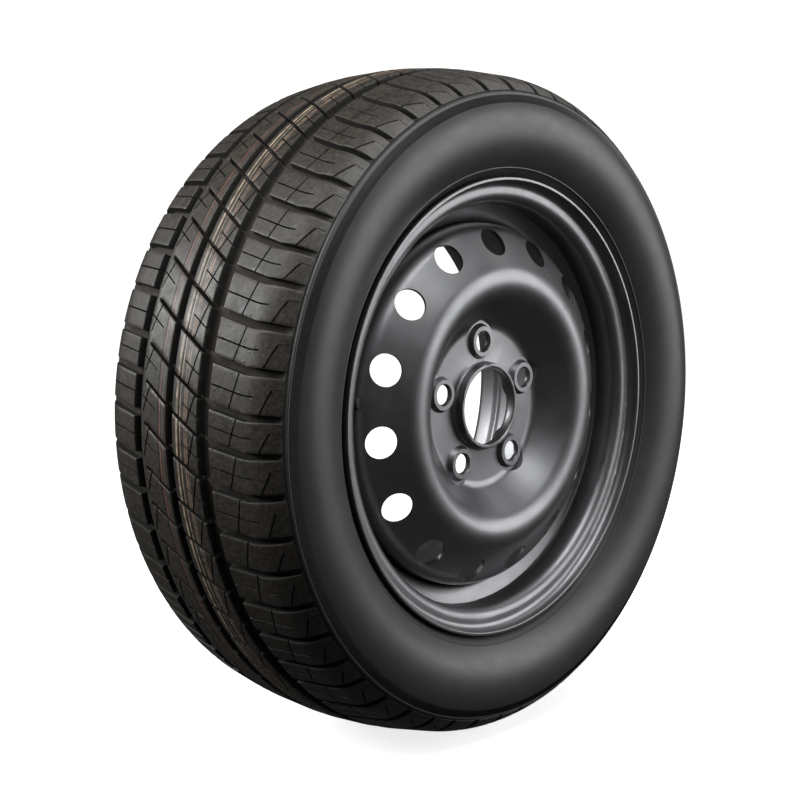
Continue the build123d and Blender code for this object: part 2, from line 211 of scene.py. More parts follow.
wheelPaint = {
    "dark": (0.170, 0.173, 0.180, 1),
    "light": (0.208, 0.211, 0.218, 1),
    "metallic": 0.96,
    "roughness": (0.38, 0.45),
    "coat": 0.30,
    "coatRoughness": 0.17,
    "peelStrength": 0.35,
    "peelDepth": 0.05 * mm,
    # scale and detail of the noise under each effect
    "cloudNoise": (14.0, 4.0),
    "glossNoise": (60.0, 3.0),
    "peelNoise": (420.0, 2.0),
}


def satinBlackPaint():
    look = wheelPaint
    material, tree, shader = newMaterial("satinBlackPaint")
    cloud = ramp(tree, noise(tree, *look["cloudNoise"]), 0.0, 1.0)
    tree.links.new(mixColour(tree, cloud, look["dark"], look["light"]), shader.inputs["Base Color"])
    gloss = ramp(tree, noise(tree, *look["glossNoise"]), *look["roughness"])
    tree.links.new(gloss, shader.inputs["Roughness"])
    peel = bump(tree, noise(tree, *look["peelNoise"]), look["peelStrength"], look["peelDepth"])
    tree.links.new(peel, shader.inputs["Normal"])
    shader.inputs["Metallic"].default_value = look["metallic"]
    shader.inputs["Coat Weight"].default_value = look["coat"]
    shader.inputs["Coat Roughness"].default_value = look["coatRoughness"]
    return material


tyreFinish = {
    "wall": (0.036, 0.036, 0.037, 1),
    "wallLight": (0.046, 0.046, 0.047, 1),
    "treadTop": (0.019, 0.017, 0.014, 1),
    "treadDust": (0.060, 0.052, 0.041, 1),
    # painted highlight along the blocks' edges
    "treadEdgeHighlight": (0.085, 0.075, 0.062, 1),
    # painted shade for the sides of the grooves and the thin cuts
    "grooveShade": (0.006, 0.0055, 0.005, 1),
    "grooveFloor": (0.036, 0.030, 0.024, 1),
    "wallRoughness": (0.36, 0.43),
    "treadRoughness": (0.38, 0.54),
    "grooveRoughness": 0.40,
    "grainStrength": 0.35,
    "grainDepth": 0.08 * mm,
    # heights on the tread, against the grain's
    "waveShare": 9.0,
    "pimpleShare": 5.0,
    "stubShare": 6.0,
    "stubSpacing": 9 * mm,  # about, since stubs are scattered
    "stubEdge": (0.06, 0.13),  # shares of the spacing, from a stub's middle
    # scale and detail of the noise under each effect
    "cloudNoise": (22.0, 5.0),
    "speckNoise": (330.0, 4.0),
    "wearNoise": (160.0, 4.0),
    "glossNoise": (90.0, 3.0),
    "waveNoise": (70.0, 2.0),
    "pimpleNoise": (300.0, 3.0),
    "grainNoise": (900.0, 3.0),
    # how much dust lies on the tread, how strong the painted highlight on its edges is, and what wear
    # leaves of a painted line
    "cloudShare": 0.25,
    "speckShare": 0.6,
    "speckRange": (0.42, 0.62),
    # strength of the painted highlight along the blocks' edges
    "edgeShare": 0.7,
    "wearLeast": 0.25,
    "wearRange": (0.35, 0.6),
    "lineFade": (0.35, 0.55),  # shares of a line's width, from its middle
    # how far down a groove or a thin cut each effect starts and ends, from 0 to 1
    "topFade": (0.02, 0.08),
    "edgeHighlightRise": (0.004, 0.02),
    "edgeHighlightFade": (0.045, 0.12),
    "cutShadeRise": (0.02, 0.15),
    "cutShadeFade": (0.0, 0.1),
    "floorRise": (0.75, 1.0),
    "mattRise": (0.05, 0.3),
}
# lines painted round the tread: place across it, width, colour and strength
paintedLines = [
    (-15.2 * mm, 1.6 * mm, (0.30, 0.19, 0.14, 1), 0.75),
    (-13.0 * mm, 1.2 * mm, (0.42, 0.31, 0.23, 1), 0.65),
    (-8.2 * mm, 1.2 * mm, (0.46, 0.36, 0.25, 1), 0.75),
    (-4.2 * mm, 2.2 * mm, (0.50, 0.40, 0.28, 1), 0.80),
    (16.6 * mm, 1.1 * mm, (0.34, 0.12, 0.09, 1), 0.75),
    (13.0 * mm, 2.0 * mm, (0.16, 0.12, 0.10, 1), 0.50),
]


def paintLine(tree, across, place, width, strength):
    # the line's strength inside it, fading to nothing at its sides
    start, end = tyreFinish["lineFade"]
    off = mathNode(tree, "ABSOLUTE", mathNode(tree, "SUBTRACT", across, place))
    return times(tree, ramp(tree, off, 1.0, 0.0, start * width, end * width), strength)


def tyreRubber():
    look = tyreFinish
    material, tree, shader = newMaterial("tyreRubber")
    tread, sunk, groove = [attributeValue(tree, name) for name in ("tread", "sunk", "groove")]
    coords = addNode(tree, "ShaderNodeTexCoord").outputs["Object"]
    place = addNode(tree, "ShaderNodeSeparateXYZ")
    tree.links.new(coords, place.inputs["Vector"])

    cloud = ramp(tree, noise(tree, *look["cloudNoise"]), 0.0, 1.0)
    wall = mixColour(tree, cloud, look["wall"], look["wallLight"])
    specks = ramp(tree, noise(tree, *look["speckNoise"]), 0.0, look["speckShare"], *look["speckRange"])
    dust = mathNode(tree, "MULTIPLY_ADD", cloud, look["cloudShare"], specks)
    top = mixColour(tree, dust, look["treadTop"], look["treadDust"])
    onTop = ramp(tree, sunk, 1.0, 0.0, *look["topFade"])
    wear = ramp(tree, noise(tree, *look["wearNoise"]), look["wearLeast"], 1.0, *look["wearRange"])
    worn = times(tree, onTop, wear)
    for middle, width, colour, strength in paintedLines:
        amount = times(tree, paintLine(tree, place.outputs["Y"], middle, width, strength), worn)
        top = mixColour(tree, amount, top, colour)

    # lighter block edges, a painted highlight; dusty groove floors; painted shade on groove sides and in
    # thin cuts
    # painted highlight on the chamfered block edges
    edge = times(tree, ramp(tree, groove, 0.0, look["edgeShare"], *look["edgeHighlightRise"]),
                 ramp(tree, groove, 1.0, 0.0, *look["edgeHighlightFade"]))
    top = mixColour(tree, edge, top, look["treadEdgeHighlight"])
    # painted shade, strongest half way down a groove's side, and in the thin cuts
    side = times(tree, times(tree, groove, 4.0), mathNode(tree, "SUBTRACT", 1.0, groove))  # 1 at half depth
    cut = times(tree, ramp(tree, sunk, 0.0, 1.0, *look["cutShadeRise"]),
                ramp(tree, groove, 1.0, 0.0, *look["cutShadeFade"]))
    top = mixColour(tree, mathNode(tree, "MAXIMUM", side, cut, clamp=True), top, look["grooveShade"])
    top = mixColour(tree, ramp(tree, groove, 0.0, 1.0, *look["floorRise"]), top, look["grooveFloor"])
    tree.links.new(mixColour(tree, tread, wall, top), shader.inputs["Base Color"])

    patches = noise(tree, *look["glossNoise"])
    wallGloss = ramp(tree, patches, *look["wallRoughness"])
    treadGloss = ramp(tree, patches, *look["treadRoughness"])
    change = mathNode(tree, "SUBTRACT", treadGloss, wallGloss)
    gloss = mathNode(tree, "MULTIPLY_ADD", change, tread, wallGloss)
    matt = ramp(tree, groove, 0.0, look["grooveRoughness"], *look["mattRise"])
    tree.links.new(mathNode(tree, "ADD", gloss, matt), shader.inputs["Roughness"])

    # fine grain everywhere, and on the tread a slow unevenness, pimples
    # and the stubs left by the mould's air vents
    wave = times(tree, noise(tree, *look["waveNoise"]), look["waveShare"])
    pimples = times(tree, noise(tree, *look["pimpleNoise"]), look["pimpleShare"])
    cells = addNode(tree, "ShaderNodeTexVoronoi")
    cells.inputs["Scale"].default_value = 1 / look["stubSpacing"]
    tree.links.new(coords, cells.inputs["Vector"])
    stubs = ramp(tree, cells.outputs["Distance"], look["stubShare"], 0.0, *look["stubEdge"])
    uneven = mathNode(tree, "ADD", wave, pimples)
    uneven = mathNode(tree, "MULTIPLY_ADD", stubs, onTop, uneven)
    skin = mathNode(tree, "MULTIPLY_ADD", uneven, tread, noise(tree, *look["grainNoise"]))
    tree.links.new(bump(tree, skin, look["grainStrength"], look["grainDepth"]), shader.inputs["Normal"])
    return material


# finishes of the small pieces: two colours, and the noise that mixes them
valveFinishes = {
    "valveRubber": {
        "colours": ((0.020, 0.020, 0.021, 1), (0.035, 0.034, 0.033, 1)),
        "metallic": 0.0,
        "roughness": (0.55, 0.75),
        "noiseScale": 300.0,
        "depth": 0.05 * mm,
    },
    "turnedBrass": {
        "colours": ((0.62, 0.44, 0.17, 1), (0.78, 0.58, 0.27, 1)),
        "metallic": 1.0,
        "roughness": (0.25, 0.40),
        "noiseScale": 500.0,
        "depth": 0.02 * mm,
    },
    "capPlastic": {
        "colours": ((0.014, 0.014, 0.015, 1), (0.022, 0.022, 0.023, 1)),
        "metallic": 0.0,
        "roughness": (0.40, 0.52),
        "noiseScale": 400.0,
        "depth": 0.03 * mm,
    },
    "springSteel": {
        "colours": ((0.50, 0.50, 0.51, 1), (0.64, 0.64, 0.65, 1)),
        "metallic": 1.0,
        "roughness": (0.25, 0.35),
        "noiseScale": 600.0,
        "depth": 0.01 * mm,
    },
}
valveBump = 0.4


def valveFinish(name):
    # gloss and bump vary two and three times as finely as the colour
    look = valveFinishes[name]
    scale = look["noiseScale"]
    material, tree, shader = newMaterial(name)
    colour = mixColour(tree, ramp(tree, noise(tree, scale), 0.0, 1.0), *look["colours"])
    tree.links.new(colour, shader.inputs["Base Color"])
    tree.links.new(ramp(tree, noise(tree, 2 * scale), *look["roughness"]), shader.inputs["Roughness"])
    tree.links.new(bump(tree, noise(tree, 3 * scale), valveBump, look["depth"]), shader.inputs["Normal"])
    shader.inputs["Metallic"].default_value = look["metallic"]
    return material


paint = satinBlackPaint()
rubber = tyreRubber()
valveRubber, brass, capPlastic, springSteel = [valveFinish(name) for name in valveFinishes]
print("materials made")


# tyre: one pitch of the tread is drawn flat, then laid round the wheel pitch by pitch

tyreForm = {
    "diameter": 579 * mm,
    "width": 217 * mm,
    "crownArc": 340 * mm,
    "shoulderArc": 42 * mm,
    "treadThickness": 15.5 * mm,
    "wallThickness": 9 * mm,
    "innerShoulderArc": 30 * mm,
    "beadSeatRadius": 177.4 * mm,
    "beadWidth": 15.5 * mm,
    "beadHeight": 16 * mm,
    "beadToeLean": 2 * mm,
    "beadTaper": 5.0,  # degrees
    "rimHalfWidth": 82.55 * mm,
    "flangeHeight": 18.2 * mm,
    "flangeCurl": 9.5 * mm,
    "beadGap": 0.2 * mm,
    "flangeHold": 60.0,  # degrees of the rim's curl that the bead lies on
    "heelArc": 6.5 * mm,
    "sharpAngle": 32,
    # rings round the sidewall: radius, width and height, below 0 for a sunk one
    "rings": (
        (266.2 * mm, 1.6 * mm, -0.9 * mm),
        (264.5 * mm, 2.0 * mm, 0.5 * mm),
        (203 * mm, 1.4 * mm, 0.4 * mm),
    ),
    # points in its section
    "wallStep": 3.4 * mm,
    "ringClear": 0.8,  # share of a ring's width that is kept free of the wall's own points
    "curlSteps": 5,
    "heelSteps": 4,
    "innerSteps": 5,
    "crownSteps": 4,
}
treadForm = {
    "grooves": ((-32.5 * mm, 12.6 * mm), (5 * mm, 8.5 * mm), (46.5 * mm, 10.5 * mm)),
    "grooveDepth": 7.5 * mm,
    "grooveWall": 8.0,  # degrees
    "crossDepth": 6.5 * mm,
    "crossFade": 1.2 * mm,  # how far inside the tyre's side the cross grooves' floor stays
    "crossEndRadius": 267 * mm,
    "crossWidth": 6.2 * mm,
    "diagonalWidth": 3 * mm,
    "crossDraft": 0.4 * mm,
    "bend": 71 * mm,  # beyond this the outboard cross grooves run straight across
    # degrees
    "outboardSlant": 12.0,
    "diagonalSlant": 31.0,
    "inboardSlant": 10.0,
    "firstAngle": 235.2,
    "diagonalEnd": 37 * mm,
    "edgeWidth": 0.5 * mm,
    "edgeDrop": 0.3 * mm,
    "pitchOrder": "MMSLMSLLLSM" * 5,
    "pitchLengths": {"S": 5.8, "M": 6.65, "L": 7.15},  # against each other
    # points in one pitch
    "stepsPerPitch": 6,
    "lineStep": 5 * mm,
    "innerPoint": 5.6 * mm,
    "runOut": 0.4 * mm,  # how far short of the tread's sides the cross grooves' lines stop
    "joinGap": 1e-7,  # points nearer than this are one
}
# thin cuts in each pitch: two ends as (share of the pitch, millimetres across), then width and depth
sipe, score = (1.3 * mm, 2.6 * mm), (0.6 * mm, 0.9 * mm)
treadSipes = [
    ((0.04, -57.3), (0.96, -65.0), sipe),
    ((0.47, -79.5), (0.47, -36.0), sipe),
    ((0.06, -84.0), (0.66, -92.0), sipe),
    ((0.66, -92.0), (0.66, -98.0), score),
    ((0.48, -29.5), (0.48, -9.0), sipe),
    ((0.02, -14.8), (0.98, -23.6), sipe),
    ((0.02, -6.8), (0.98, -6.8), score),
    ((0.02, 19.2), (0.98, 19.2), score),
    ((0.58, 22.0), (0.58, 42.5), sipe),
    ((0.20, 38.8), (0.98, 31.0), sipe),
    ((0.50, 50.5), (0.50, 92.0), sipe),
    ((0.04, 93.0), (0.96, 83.0), sipe),
]


def shoulderArc(crownTop, halfWidth, crownArc, cornerArc):
    # centre of the shoulder arc and the place where the crown runs into it
    across = halfWidth - cornerArc
    along = math.sqrt((crownArc - cornerArc) ** 2 - across ** 2)
    centre = (crownTop - crownArc + along, across)
    share = crownArc / (crownArc - cornerArc)
    edge = (crownTop - crownArc + along * share, across * share)
    return centre, edge


def crownRadius(crownTop, arc, place):
    return crownTop - arc + math.sqrt(arc ** 2 - place ** 2)


def between(points, place):
    # radius on the straight lines from point to point
    for (ya, ra), (yb, rb) in zip(points, points[1:]):
        if ya <= place <= yb:
            return ra + (rb - ra) * (place - ya) / (yb - ya)
    return points[0][1] if place < points[0][0] else points[-1][1]


def surfaceRadius(crownTop, halfWidth, place):
    # the tread's surface, straight across each rib and round at the shoulders
    centre, edge = shoulderArc(crownTop, halfWidth, tyreForm["crownArc"], tyreForm["shoulderArc"])
    if abs(place) <= edge[1]:
        crown = [(-edge[1], edge[0])]
        crown += [(y, crownRadius(crownTop, tyreForm["crownArc"], y)) for y, _ in treadForm["grooves"]]
        return between(crown + [(edge[1], edge[0])], place)
    return centre[0] + math.sqrt(tyreForm["shoulderArc"] ** 2 - (abs(place) - centre[1]) ** 2)


tyreR = tyreForm["diameter"] / 2
halfTyre = tyreForm["width"] / 2
shoulderCentre, _ = shoulderArc(tyreR, halfTyre, tyreForm["crownArc"], tyreForm["shoulderArc"])
endRise = treadForm["crossEndRadius"] - shoulderCentre[0]
treadHalf = shoulderCentre[1] + math.sqrt(tyreForm["shoulderArc"] ** 2 - endRise ** 2)
pitchCount = len(treadForm["pitchOrder"])
pitchArc = 2 * math.pi * tyreR / pitchCount
slope = {}
for part in ("outboard", "diagonal", "inboard"):
    slope[part] = math.tan(math.radians(treadForm[part + "Slant"]))
firstGroove, _, lastGroove = [place for place, _ in treadForm["grooves"]]
grooveLean = treadForm["grooveDepth"] * math.tan(math.radians(treadForm["grooveWall"]))


def topRadius(y):
    return surfaceRadius(tyreR, halfTyre, y)


def crossFloor(y):
    floor = surfaceRadius(tyreR - treadForm["crossDepth"], halfTyre - treadForm["crossFade"], y)
    return max(floor, treadForm["crossEndRadius"])


def lead(y):
    # how far round the tread a cross groove has run by this place across it
    run = max(0.0, min(y, firstGroove) + treadForm["bend"]) * slope["outboard"]
    run += max(0.0, min(y, lastGroove) - firstGroove) * slope["diagonal"]
    run += max(0.0, y - lastGroove) * slope["inboard"]
    return run


def crossHalfWidth(y):
    # measured along the tread, so a slanted groove comes out wider
    if y < firstGroove:
        slant = slope["outboard"] if y > -treadForm["bend"] else 0.0
        return treadForm["crossWidth"] / 2 * math.hypot(1, slant)
    if y > lastGroove:
        return treadForm["crossWidth"] / 2 * math.hypot(1, slope["inboard"])
    return treadForm["diagonalWidth"] / 2 * math.hypot(1, slope["diagonal"])


def grooveShare(distance, half, floorHalf):
    # 0 on top, edgeShare at the chamfer's foot, 1 on the floor
    edge = treadForm["edgeWidth"]
    edgeShare = treadForm["edgeDrop"] / treadForm["grooveDepth"]
    if distance >= half + edge:
        return 0.0
    if distance >= half:
        return edgeShare * (half + edge - distance) / edge
    if distance >= floorHalf:
        return edgeShare + (1 - edgeShare) * (half - distance) / (half - floorHalf)
    return 1.0


def sipeEnds(cut):
    (ua, ya), (ub, yb), _ = cut
    return Vector((ua * pitchArc, ya * mm)), Vector((ub * pitchArc, yb * mm))


def sipeDrop(s, y):
    # a thin cut is a V that runs out at its ends
    deepest = 0.0
    for cut in treadSipes:
        width, depth = cut[2]
        a, b = sipeEnds(cut)
        run, here = b - a, Vector((s, y)) - a
        along = here.dot(run) / run.length
        off = abs(here.cross(run)) / run.length
        inside = min(along, run.length - along)
        if inside > 0 and off < width / 2:
            deepest = max(deepest, depth * (1 - 2 * off / width) * min(1.0, inside / width))
    return deepest


def surfaceAt(s, y):
    # radius of the finished tread at a point of the flat pitch, how far it is sunk from 0 to 1,
    # and how far down a groove's side it is, 1 on the floor
    top = topRadius(y)
    drop = sipeDrop(s, y)
    groove = 0.0
    for place, width in treadForm["grooves"]:
        share = grooveShare(abs(y - place), width / 2, width / 2 - grooveLean)
        drop = max(drop, share * treadForm["grooveDepth"])
        groove = max(groove, share)
    half = crossHalfWidth(y)
    if y <= treadForm["diagonalEnd"] or y >= lastGroove:
        share = grooveShare(min(s, pitchArc - s), half, half - treadForm["crossDraft"])
        drop = max(drop, share * (top - crossFloor(y)))
        groove = max(groove, share)
    return top - drop, min(1.0, drop / treadForm["crossDepth"]), groove


class FlatPitch:
    # points and cut lines of one pitch, gathered before it is cut into triangles

    def __init__(self):
        self.points = []
        self.edges = []

    def line(self, points):
        start = len(self.points)
        self.points += [Vector(p) for p in points]
        self.edges += [(i, i + 1) for i in range(start, start + len(points) - 1)]

    def loose(self, s, y):
        self.points.append(Vector((s, y)))


def spread(low, high, step):
    count = max(1, round((high - low) / step))
    return [low + (high - low) * i / count for i in range(count + 1)]


def drawPitch():
    flat = FlatPitch()
    steps = treadForm["stepsPerPitch"]
    along = [pitchArc * i / steps for i in range(steps + 1)]
    edge = treadForm["edgeWidth"]
    step = treadForm["lineStep"]
    grooveLines = []
    for place, width in treadForm["grooves"]:
        for half in (width / 2 + edge, width / 2, width / 2 - grooveLean):
            grooveLines += [place - half, place + half]
    for y in grooveLines + [-treadHalf, treadHalf]:
        flat.line([(s, y) for s in along])
    bend, diagonalEnd = -treadForm["bend"], treadForm["diagonalEnd"]
    stretches = [(-treadHalf, bend), (bend, firstGroove), (firstGroove, diagonalEnd)]
    for low, high in stretches + [(lastGroove, treadHalf)]:
        ys = spread(low, high, step)
        half = crossHalfWidth((low + high) / 2)
        reach = treadHalf - treadForm["runOut"]
        inside = [max(-reach, min(reach, y)) for y in ys]
        for offset in (half + edge, half, half - treadForm["crossDraft"]):
            flat.line([(offset, y) for y in inside])
            flat.line([(pitchArc - offset, y) for y in inside])
        flat.line([(0, y) for y in ys])
        flat.line([(pitchArc, y) for y in ys])
    flat.line([(0, diagonalEnd), (0, lastGroove)])
    flat.line([(pitchArc, diagonalEnd), (pitchArc, lastGroove)])
    for cut in treadSipes:
        width, _ = cut[2]
        a, b = sipeEnds(cut)
        run = (b - a).normalized()
        side = Vector((-run.y, run.x)) * width / 2
        near, far = a + run * width, b - run * width
        count = max(1, round((far - near).length / step))
        mid = [near + (far - near) * i / count for i in range(count + 1)]
        flat.line([a] + mid + [b])
        flat.line([a] + [p + side for p in mid] + [b])
        flat.line([a] + [p - side for p in mid] + [b])
    for y in spread(-treadHalf, treadHalf, treadForm["innerPoint"])[1:-1]:
        for s in spread(0, pitchArc, treadForm["innerPoint"])[1:-1]:
            flat.loose(s, y)
    return flat


def arcPoints(centre, radius, start, end, count):
    # angles run from +y towards +r
    angles = [math.radians(start + (end - start) * i / count) for i in range(count + 1)]
    return [(centre[0] + radius * math.sin(a), centre[1] + radius * math.cos(a)) for a in angles]


def lowerArc(widest, foot):
    # arc that leaves the widest point straight inwards and ends at the foot
    dr, dy = widest[0] - foot[0], widest[1] - foot[1]
    radius = (dr * dr + dy * dy) / (2 * dy)
    return (widest[0], widest[1] - radius), radius, -math.degrees(math.atan2(dr, radius - dy))


def ringHeight(r):
    # each side of a ring takes up a quarter of its width
    height = 0.0
    for middle, width, rise in tyreForm["rings"]:
        inside = width / 2 - abs(r - middle)
        if inside > 0:
            height += rise * min(1.0, 4 * inside / width)
    return height


def outerWall(radii, foot):
    # points of the sidewall at these radii, on the shoulder arc and on the arc below it
    lowCentre, lowRadius, _ = lowerArc((shoulderCentre[0], halfTyre), foot)
    line = []
    for r in radii:
        high = r >= shoulderCentre[0]
        centre, radius = (shoulderCentre, tyreForm["shoulderArc"]) if high else (lowCentre, lowRadius)
        angle = math.asin((r - centre[0]) / radius)
        radius += ringHeight(r)
        line.append((centre[0] + radius * math.sin(angle), centre[1] + radius * math.cos(angle)))
    return line


def wallLine():
    # half section from the shoulder down the sidewall, round the bead and up inside to the middle
    form = tyreForm
    lipR = form["beadSeatRadius"] + form["flangeHeight"]
    curl = (lipR - form["flangeCurl"], form["rimHalfWidth"] + form["flangeCurl"])
    hold = form["flangeCurl"] + form["beadGap"]

    def onCurl(angle):
        a = math.radians(angle)
        return (curl[0] + hold * math.sin(a), curl[1] - hold * math.cos(a))

    foot = onCurl(form["flangeHold"])
    radii = spread(foot[0], treadForm["crossEndRadius"], form["wallStep"])
    for middle, width, _ in form["rings"]:
        radii = [r for r in radii if abs(r - middle) > form["ringClear"] * width]
        radii += [middle + width * k / 4 for k in (-2, -1, 1, 2)]
    line = outerWall(sorted(radii, reverse=True), foot)
    steps = form["curlSteps"]
    line += [onCurl(form["flangeHold"] * (1 - i / steps)) for i in range(1, steps + 1)]
    face = form["rimHalfWidth"] - form["beadGap"]
    heelR = form["beadSeatRadius"] + form["beadGap"]
    toeY = face - form["beadWidth"]
    toeR = heelR - form["beadWidth"] * math.tan(math.radians(form["beadTaper"]))
    heel, steps = form["heelArc"], form["heelSteps"]
    line += [(heelR + heel * (1 - math.sin(a)), face - heel * (1 - math.cos(a)))
             for a in [math.radians(90 * i / steps) for i in range(steps + 1)]]
    line += [(toeR, toeY), (form["beadSeatRadius"] + form["beadHeight"], toeY + form["beadToeLean"])]
    innerTop, innerHalf = tyreR - form["treadThickness"], halfTyre - form["wallThickness"]
    innerArc, corner = form["crownArc"] - form["treadThickness"], form["innerShoulderArc"]
    innerCentre, innerEdge = shoulderArc(innerTop, innerHalf, innerArc, corner)
    centre, radius, endAngle = lowerArc((innerCentre[0], innerHalf), line[-1])
    line += arcPoints(centre, radius, endAngle, 0, form["innerSteps"])[1:]
    edgeAngle = math.degrees(math.atan2(innerEdge[0] - innerCentre[0], innerEdge[1] - innerCentre[1]))
    line += arcPoints(innerCentre, corner, 0, edgeAngle, form["innerSteps"])[1:]
    steps = form["crownSteps"]
    for y in [innerEdge[1] * (1 - i / steps) for i in range(1, steps + 1)]:
        line.append((crownRadius(innerTop, innerArc, y), y))
    return line


def tyrePitch():
    flat = drawPitch()
    points, _, triangles, _, _, _ = delaunay_2d_cdt(
        flat.points, flat.edges, [], 0, treadForm["joinGap"], False)
    verts, leads, sunk, grooves, tread, faces = [], [], [], [], [], []
    for p in points:
        radius, depth, groove = surfaceAt(p.x, p.y)
        verts.append((p.x / pitchArc, p.y, radius))
        leads.append(lead(p.y) / tyreR)
        sunk.append(depth)
        grooves.append(groove)
        tread.append(1.0)
    faces += [tuple(t) for t in triangles]
    half = wallLine()
    section = [(r, -y) for r, y in half] + [(r, y) for r, y in half[-2::-1]]
    steps = treadForm["stepsPerPitch"]
    leadLow, leadHigh = lead(-treadHalf) / tyreR, lead(treadHalf) / tyreR
    startRow = len(verts)
    for i, (r, y) in enumerate(section):
        share = i / (len(section) - 1)
        for j in range(steps + 1):
            verts.append((j / steps, y, r))
            leads.append(leadLow + (leadHigh - leadLow) * share)
            sunk.append(0.0)
            grooves.append(0.0)
            tread.append(1.0 if i in (0, len(section) - 1) else 0.0)
    width = steps + 1
    for i in range(len(section) - 1):
        for j in range(steps):
            a = startRow + i * width + j
            faces.append((a, a + 1, a + 1 + width, a + width))
    obj = meshObject("tyrePitch", verts, [], faces)
    for name, values in (("lead", leads), ("sunk", sunk), ("groove", grooves), ("tread", tread)):
        storeFloat(obj.data, name, values)
    print("one pitch:", len(faces), "faces")
    return obj


def pitchStarts():
    lengths = [treadForm["pitchLengths"][letter] for letter in treadForm["pitchOrder"]]
    scale = 2 * math.pi / sum(lengths)
    starts, angle = [], math.radians(treadForm["firstAngle"])
    for length in lengths:
        starts.append(angle)
        angle += length * scale
    return starts, [length * scale for length in lengths]


def wrapTree():
    # pitches stand in a row along X as (angle, across, radius), then the row is rolled up about Y
    tree = newTree("rollUpTread")
    groupInput(tree, "Pitch", "NodeSocketObject")
    groupInput(tree, "Weld distance", "NodeSocketFloat", 0.01 * mm)
    groupInput(tree, "Rubber", "NodeSocketMaterial")
    inputs = addNode(tree, "NodeGroupInput").outputs
    pitch = addNode(tree, "GeometryNodeObjectInfo")
    feed(tree, pitch.inputs["Object"], inputs["Pitch"])
    length = addNode(tree, "GeometryNodeInputNamedAttribute", data_type="FLOAT")
    length.inputs["Name"].default_value = "pitchAngle"
    scale = addNode(tree, "ShaderNodeCombineXYZ")
    feed(tree, scale.inputs["X"], length.outputs["Attribute"])
    scale.inputs["Y"].default_value = 1.0
    scale.inputs["Z"].default_value = 1.0
    row = addNode(tree, "GeometryNodeInstanceOnPoints")
    feed(tree, row.inputs["Points"], inputs["Geometry"])
    feed(tree, row.inputs["Instance"], pitch.outputs["Geometry"])
    feed(tree, row.inputs["Scale"], scale.outputs["Vector"])
    real = addNode(tree, "GeometryNodeRealizeInstances")
    feed(tree, real.inputs["Geometry"], row.outputs["Instances"])
    place = addNode(tree, "ShaderNodeSeparateXYZ")
    feed(tree, place.inputs["Vector"], addNode(tree, "GeometryNodeInputPosition").outputs["Position"])
    leadAngle = addNode(tree, "GeometryNodeInputNamedAttribute", data_type="FLOAT")
    leadAngle.inputs["Name"].default_value = "lead"
    angle = mathNode(tree, "ADD", place.outputs["X"], leadAngle.outputs["Attribute"])
    radius = place.outputs["Z"]
    rolled = addNode(tree, "ShaderNodeCombineXYZ")
    feed(tree, rolled.inputs["X"], times(tree, radius, mathNode(tree, "SINE", angle)))
    feed(tree, rolled.inputs["Y"], place.outputs["Y"])
    feed(tree, rolled.inputs["Z"], times(tree, radius, mathNode(tree, "COSINE", angle)))
    moved = addNode(tree, "GeometryNodeSetPosition")
    feed(tree, moved.inputs["Geometry"], real.outputs["Geometry"])
    feed(tree, moved.inputs["Position"], rolled.outputs["Vector"])
    weld = addNode(tree, "GeometryNodeMergeByDistance")
    feed(tree, weld.inputs["Geometry"], moved.outputs["Geometry"])
    feed(tree, weld.inputs["Distance"], inputs["Weld distance"])
    endTree(tree, weld.outputs["Geometry"], inputs["Rubber"])
    return tree


rollUp = wrapTree()


def makeTyre():
    starts, lengths = pitchStarts()
    tyre = meshObject("tyreMoulded", [(start, 0, 0) for start in starts], [], [])
    storeFloat(tyre.data, "pitchAngle", lengths)
    pitch = tyrePitch()
    runTree(tyre, rollUp, {"Pitch": pitch, "Rubber": rubber})
    bpy.data.objects.remove(pitch)
    shadeFaces(tyre, tyreForm["sharpAngle"])
    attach(tyre, "wheel")
    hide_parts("tyre")
    print("tyre made:", len(tyre.data.polygons), "faces")


makeTyre()

hatchForm = {
    "count": 1320,
    "top": 262.8 * mm,
    "bottom": 256.5 * mm,
    "width": 0.6 * mm,
    "height": 0.5 * mm,
    "lean": 0.9 * mm,
    "root": 0.15 * mm,
    "steps": 2,
    "sharpAngle": 25,
}


def hatchRib():
    # one pair of ribs, outboard and inboard, in the same flat layout as a pitch of the tread
    form = hatchForm
    half, steps = form["width"] / 2, form["steps"]
    section = ((-half, -form["root"]), (0, form["height"]), (half, -form["root"]))
    corners = len(section)
    verts, faces = [], []
    for side in (-1, 1):
        start = len(verts)
        for i in range(steps + 1):
            r = form["top"] + (form["bottom"] - form["top"]) * i / steps
            tilt = math.asin((r - shoulderCentre[0]) / tyreForm["shoulderArc"])
            middle = form["lean"] * i / steps
            for across, height in section:
                reach = tyreForm["shoulderArc"] + height
                verts.append(((middle + across) / r, side * (shoulderCentre[1] + reach * math.cos(tilt)),
                              shoulderCentre[0] + reach * math.sin(tilt)))
        for i in range(steps):
            a, b = start + corners * i, start + corners * (i + 1)
            for k in range(corners):
                after = (k + 1) % corners
                faces.append((a + k, a + after, b + after, b + k))
        last = start + corners * steps
        faces += [tuple(range(end, end + corners)) for end in (start, last)]
    return meshObject("hatchRib", verts, [], faces)


def makeHatch():
    count = hatchForm["count"]
    hatch = meshObject("shoulderHatch", [(2 * math.pi * i / count, 0, 0) for i in range(count)], [], [])
    storeFloat(hatch.data, "pitchAngle", [1.0] * count)  # a rib's places are angles already
    rib = hatchRib()
    runTree(hatch, rollUp, {"Pitch": rib, "Rubber": rubber})
    bpy.data.objects.remove(rib)
    shadeFaces(hatch, hatchForm["sharpAngle"])
    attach(hatch, "wheel")
    print("hatched band made:", len(hatch.data.polygons), "faces")


makeHatch()


# pressed steel wheel and valve: the solids themselves, smoothed over their facets

